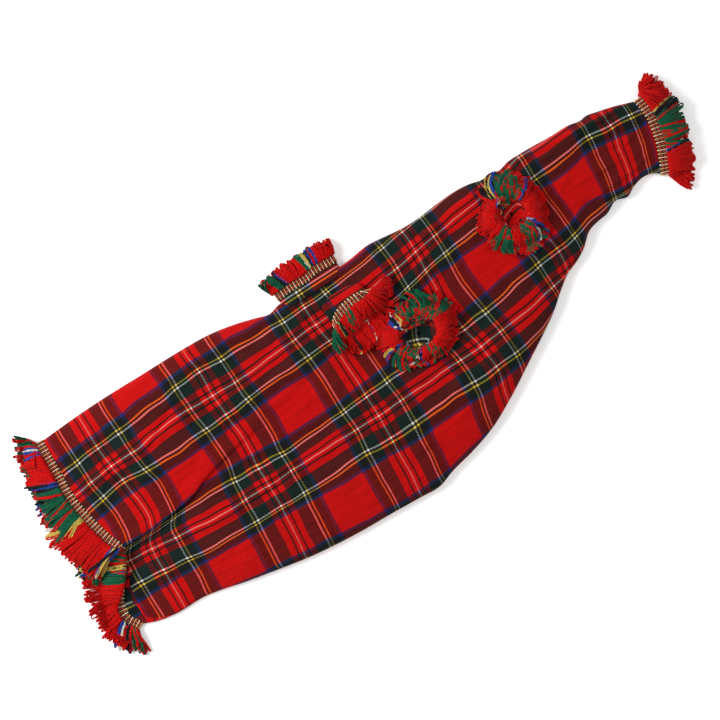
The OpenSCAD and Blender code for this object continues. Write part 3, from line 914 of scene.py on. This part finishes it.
def sleeve(name, loops, coords):
    """A sleeve through rings of drawing points, all with one count; coords(points) gives its weave."""
    loops = np.array(loops, float)
    rows, cols, _ = loops.shape
    fine = np.linspace(0, rows - 1, rows * 3)
    below = np.minimum(fine.astype(int), rows - 2)
    part = (fine - below)[:, None, None]
    flat = (loops[below] + (loops[below + 1] - loops[below]) * part).reshape(-1, 3)
    faces = grid_faces(len(fine), cols, close=True)
    obj = make_mesh(name, place(*flat.T), faces, [TARTAN], coords(flat) * MM)
    solidify(obj, CLOTH_T, 0)
    return obj


def puckered(count, seed):
    """A closed run of soft bumps from -1 to 1."""
    rng = np.random.default_rng(seed)
    a = turns(count)
    total = sum(rng.uniform(0.4, 1) * np.sin(f * a + rng.uniform(0, 6.28)) for f in (2, 3, 5, 8, 11))
    return total / np.abs(total).max()


# A crumpled sleeve's rings, from its foot up: share of the mouth's size, how uneven, and height.
CRUMPLED = [
    (1.0, 0.10, 0.7), (0.6, 0.16, 1.5), (0.14, 0.08, 2.0), (0.14, 0.08, 3.4),
    (0.5, 0.16, 3.9), (0.82, 0.2, 5.6), (0.95, 0.16, 8.8), (1.0, 0.14, 11.8),
]


def standing_sleeve(name, hole, mouth, size, tilt, seed, angle, cross):
    """A sleeve crumpled down on the cover, and its rim. mouth and size are its centre and half widths,
    tilt how it slopes, angle its weave's turn in degrees, and cross where two white stripes meet."""
    count = 160
    mouth = np.array(mouth)
    base = foot(hole, 0.6, 0.2, count)
    bumps = puckered(count, seed)
    more = puckered(count, seed + 1)
    loops = [base]
    top = base[:, 2].mean()
    pleats = np.sin(turns(count) * 21 + 2 * bumps)
    circle = ring(0, 0, 1, 1, count)[:, :2]
    for share, grow, up in CRUMPLED:
        r = share + grow * 0.5 * bumps + 0.05 * more * share + (0.055 if up > 0.7 else 0) * pleats * share
        off = circle * (np.array(size) * r[:, None])
        slope = off @ np.array(tilt) * (up / CRUMPLED[-1][2])
        height = top + up + (0.9 * more + 0.5 * pleats) * min(1, up / 9) + slope
        loops.append(np.column_stack((mouth + off, height)))
    c = math.cos(math.radians(angle))
    s = math.sin(math.radians(angle))

    def coords(p):
        dx = p[:, 0] - cross[0]
        dy = p[:, 1] - cross[1]
        rise = (p[:, 2] - top) * 0.7
        return columns(26.3 - c * dx - s * dy + rise, HALF - 26.3 - s * dx + c * dy + rise)

    obj = sleeve(name, loops, coords)
    radial = unit((loops[-1] - (*mouth, 0)) * (1, 1, 0))
    low = loops[-1] - (0, 0, BRAID_W - 0.6) + radial * 1.3
    return obj, Rim(low + SHIFT, radial * 0.12 + (0, 0, 1), radial)


def middle_sleeve():
    """The middle drone's sleeve, folded down across the cover with its mouth a little open."""
    count = 64
    a = turns(count)
    base = foot("middle_drone", 0.5, 0.3, count)
    upper = np.sin(a) > 0
    rim = ring(16, 37.5, 23.5, 10, count)
    rim[:, 1] += (rim[:, 0] - 16) * 0.12
    ground = cover_height(rim[:, 0], rim[:, 1])
    rim[:, 2] = ground + 5.2 + 4.0 * (0.5 + 0.5 * np.sin(a)) + 0.8 * puckered(count, 5)
    loops = [base]
    for t, lift in ((0.12, 0.8), (0.3, 1.2), (0.5, 1.0), (0.75, 0.6), (1.0, 0.0)):
        row = base + (rim - base) * t
        row[:, 2] += lift * np.sin(a) + (1 - t) * 1.6 * np.where(upper, 1, 0.3)
        row[:, 0] += 1.2 * (1 - t) * np.sign(np.cos(a)) * np.abs(np.cos(a)) ** 0.5
        loops.append(row)
    obj = sleeve("middle_drone_cloth", loops, lambda p: columns(p[:, 0] + 40, p[:, 1] + 2))
    right = smooth(0.35, 1, np.cos(a))
    left = smooth(0.6, 1, -np.cos(a))
    out = columns(0.1 + 1.3 * right - 0.35 * left, -1 + 0.75 * right, -0.12)
    face = columns(0.2 * np.cos(a), 0, np.sin(a) + 0.05)
    return obj, Rim(rim + columns(0, 1.5, 0.9 * np.sin(a)) + SHIFT, out, face)


def outer_sleeve():
    """The outer drone's sleeve: flat, and pointing out past the upper edge of the cover."""
    count = 72
    a = turns(count)
    c = np.sign(np.cos(a)) * np.abs(np.cos(a)) ** 0.45
    s = np.sign(np.sin(a)) * np.abs(np.sin(a)) ** 0.8
    x = -6.5 + 34.3 * c
    loops = []
    low = 3.3
    # Rings from under the cover to the rim: where each is, and its height once clear of the cover.
    for y, high in (
            (73.5, None), (76, None), (78.5, None), (80.5, None),
            (83.5, 11.2), (86, 9.6), (88, 8.6)):
        edge = y + (1.6 * smooth(-3, 3, x) + 0.5 * np.sin(x / 5)) * max(0, y - 80) / 8
        top = cover_height(x, edge) + 1.3 if high is None else high + 0.4 * np.sin(x / 4 + y)
        loops.append(columns(x, edge, low + (top - low) * (0.5 + 0.5 * s)))
    obj = sleeve("outer_drone_cloth", loops, lambda p: columns(p[:, 0] + 48.4, p[:, 1] - 43.6))
    rim = loops[-1] + columns(0, -1.8, 0.7 * s)
    out = np.tile((0.0, 1.0, -0.03), (count, 1))
    face = columns(0.3 * np.cos(a), 0, np.sin(a) + 0.02)
    return obj, Rim(rim + SHIFT, out, face)


def stitched_strip(name, inner, outer, z):
    """A strip of turned-in cloth between two runs of drawing points, oversewn along its inner edge."""
    n = len(inner)
    pts = np.vstack([outer + (inner - outer) * t for t in np.linspace(0, 1, 5)])
    z = np.tile(np.broadcast_to(z, n), 5)
    u, v = weave_at(pts[:, 0], pts[:, 1])
    strip = make_mesh(name, place(pts[:, 0], pts[:, 1], z), grid_faces(5, n), [TARTAN, BRAID["red"]],
                      columns(u, v) * MM)
    solidify(strip, TURNED_T, 0)
    # The thread winds round the edge, with four points to a turn.
    length = run_lengths(np.diff(inner, axis=0))
    count = int(length[-1] / 1.1) * 4
    s = np.linspace(0, length[-1], count)
    phase = np.arange(count) * math.pi / 2
    edge = sample(s, length, inner)
    edge += unit(sample(s, length, outer - inner)) * (1.3 + 1.5 * np.cos(phase))[:, None]
    height = np.interp(s, length, z[:n]) + 0.62 * np.sin(phase)
    tubes = Tubes()
    tubes.add(place(*edge.T, height)[None], 0.2 * MM, 5, [0])
    thread = tubes.build(name + "_thread", [BRAID["red"]])
    return join([strip, thread])


def long_seam(name, edge, x0, x1, side):
    """The seam allowance inside a long edge of the cover."""
    x = np.linspace(x0, x1, 90)
    y = curve(edge, x)
    inner = columns(x, y - side * SEAM_IN)
    outer = columns(x, y - side * 1.6)
    return stitched_strip(name, inner, outer, SEAM_Z + 0.2)


def hem(name, edge, sign, y0, y1):
    """The turned-in edge of a mouth: under the front cloth and over the back cloth."""
    y = np.linspace(y0, y1, 50)
    x = curve(edge, y)
    inner = columns(x - sign * HEM_IN, y)
    outer = columns(x - sign * 0.6, y)
    heights = (cover_height(x - sign * 8, y) - TURNED_UNDER, 2.1)
    return join([stitched_strip(f"{name}_{k}", inner, outer, z) for k, z in enumerate(heights)])


def hole_allowance(name, hole):
    """The seam allowance of a sleeve, turned in around its hole under the front cloth."""
    cx, cy, rx, ry = HOLES[hole]
    # Each run goes all the way round and back to its first point.
    inner, outer = (np.resize(ring(cx, cy, rx + grow, ry + grow, 72)[:, :2], (73, 2))
                    for grow in (HOLE_IN, 0.4))
    z = cover_height(inner[:, 0], inner[:, 1]) - TURNED_UNDER
    return stitched_strip(name, inner, outer, z)


def trim(name, rim, body, blocks, length, seed, floor, **settings):
    """The braid and the fringe of one rim, riding on one body."""
    band = braid(name + "_braid_trim", rim)
    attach(band, body)
    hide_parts(name + "_braid")
    made = [band]
    for kind, obj in fringe(name, rim, blocks, length, seed, floor, **settings).items():
        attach(obj, body)
        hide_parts(f"{name}_fringe_{kind}")
        made.append(obj)
    return made


def cloth_piece(obj, node):
    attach(obj, "cover")
    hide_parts(node)
    return obj


def drone_sleeve(obj, name):
    """Bakes a sleeve's placement into its mesh, and hides the model's sleeve."""
    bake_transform(obj)
    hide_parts(name + "_sleeve")


def lengths(*knots):
    """Yarn length as a function of the share of the way round a rim."""
    at, size = zip(*knots)
    return lambda share: float(np.interp(share, at, size))


def rear_length(share):
    """The rear fringe is longest by the tuck and shorter toward both corners."""
    down = 2 * share if share < 0.5 else 2 - 2 * share
    at = (0, 0.13, 0.3, 0.46, 0.61, 0.72, 0.85, 1)
    return float(np.interp(down, at, (26, 29, 38, 44, 45, 42, 28, 27)))


def tuck_under(path, share):
    """At the tuck the fringe bunches over its own braid and turns down."""
    y = path[:, 1] - SHIFT[1]
    if share > 0.5:
        return path
    y0 = y[0]
    near = smooth(-30, -42, y0) * smooth(-88, -70, y0)
    moved = path.copy()
    moved[:, 0] += near * 11.5
    moved[:, 1] += near * 3 * np.sin(y0 / 4) * Q
    moved[:, 2] += near * 3.4 * (1 - Q) + near * 1.5
    return moved


# Each lamp's name, place and size in metres, and watts.
LAMPS = [
    ("key", (-1.4, 1.1, 1.25), 1.0, 50),
    ("fill", (1.3, -0.6, 1.7), 1.6, 9),
]


def camera_and_light():
    """A camera straight above, a white floor, an even sky and two soft lamps."""
    scene = bpy.context.scene
    scene.view_settings.view_transform = "Standard"
    cam_data = bpy.data.cameras.new("camera")
    cam_data.lens = 85
    cam_data.sensor_width = 36
    cam = new_object("camera", cam_data)
    cam.location = (-0.021, 0.009, 1.717)
    cam.rotation_euler = (0, 0, math.radians(-33))
    scene.camera = cam
    floor_mat, _, bsdf = new_material("floor_white", roughness=0.9, specular=0.0)
    set_inputs(bsdf, Base_Color=(0.96, 0.96, 0.96, 1), Emission_Color=(1, 1, 1, 1), Emission_Strength=0.22)
    corners = [(-9, -9, 0), (9, -9, 0), (9, 9, 0), (-9, 9, 0)]
    make_mesh("floor", corners, [(0, 1, 2, 3)], [floor_mat])
    world = bpy.data.worlds.new("studio")
    scene.world = world
    world.use_nodes = True
    set_inputs(world.node_tree.nodes["Background"], Color=(1, 1, 1, 1), Strength=0.5)
    for name, spot, size, power in LAMPS:
        light = bpy.data.lights.new(name, "AREA")
        light.size = size
        light.energy = power
        lamp = new_object(name, light)
        lamp.location = spot
        lamp.rotation_euler = (-Vector(spot)).to_track_quat("-Z", "Y").to_euler()


def main():
    camera_and_light()
    front = cloth_piece(front_panel(), "front_panel")
    back = cloth_piece(back_panel(), "back_panel")
    sewn = []
    for part, edge, x0, x1, side in (
            ("upper_rear", UPPER, -304, -44, 1), ("upper_front", UPPER, 32, 350, 1),
            ("lower", LOWER, -312, 336, -1)):
        sewn.append(cloth_piece(long_seam(part + "_allowance", edge, x0, x1, side), part + "_seam"))
    for part, edge, sign, y0, y1 in (("rear", REAR_EDGE, -1, 93, -108), ("neck", NECK_EDGE, 1, 55, -6)):
        sewn.append(cloth_piece(hem(part + "_turning", edge, sign, y0, y1), part + "_hem"))
    for hole in HOLES:
        sewn.append(cloth_piece(hole_allowance(hole + "_allowance", hole), hole + "_seam"))
    rear = mouth_rim(REAR_EDGE, -1, (97, -112))
    sewn += trim("rear", rear, "cover", REAR_BLOCKS, rear_length, 11, on_table, fan=0.1, corner=0.6, drop=8,
                 wild=0.12, under=tuck_under)
    neck = mouth_rim(NECK_EDGE, 1, (58, -18))
    reach = lengths((0, 28), (0.12, 28), (0.3, 29), (0.45, 30), (1, 28))
    sewn += trim("neck", neck, "cover", NECK_BLOCKS, reach, 12, on_table, fan=0.25, corner=0.75, drop=7,
                 rows=4, spacing=1.2, wild=0.11, spread=0.26)

    obj, rim = outer_sleeve()
    reach = lengths((0, 19), (0.25, 19), (0.5, 22), (1, 19))
    carries = trim("outer_drone", rim, "outer_drone", OUTER_BLOCKS, reach, 13, on_table, fan=0.48, drop=5,
                   wild=0.07, spread=0.2)
    drone_sleeve(obj, "outer_drone")

    obj, rim = middle_sleeve()
    reach = lengths((0, 17), (0.08, 20), (0.45, 20), (0.6, 25), (0.75, 28), (0.92, 20), (1, 17))
    carries = trim("middle_drone", rim, "middle_drone", MIDDLE_BLOCKS, reach, 14, on_cover, drop=4,
                   tuft=9, wild=0.13, spread=0.24, spacing=1.1)
    drone_sleeve(obj, "middle_drone")

    for name, mouth, size, tilt, seed, angle, cross, blocks, reach in (
            ("inner_drone", (58, -18), (18, 13), (0.05, 0.08), 21, -25, (52, -19), INNER_BLOCKS,
             lengths((0, 22), (0.16, 24), (0.3, 22), (0.41, 24), (0.53, 19), (0.66, 18), (0.8, 18),
                     (0.91, 20), (1, 22))),
            ("blowpipe", (200.5, 31.5), (12.5, 14.5), (-0.05, 0.05), 31, 18, (230, 20), PIPE_BLOCKS,
             lengths((0, 23), (0.16, 27), (0.3, 23), (0.6, 24), (0.72, 25), (0.85, 25), (1, 23)))):
        obj, rim = standing_sleeve(name + "_cloth", name, mouth, size, tilt, seed, angle, cross)
        carries = trim(name, rim, name, blocks, reach, seed + 2, on_cover, shape=flop_over, drop=13,
                       spacing=1.0, rows=4, tuft=13, wild=0.4, spread=0.34, inward=0.15, stagger=0.4)
        drone_sleeve(obj, name)


main()
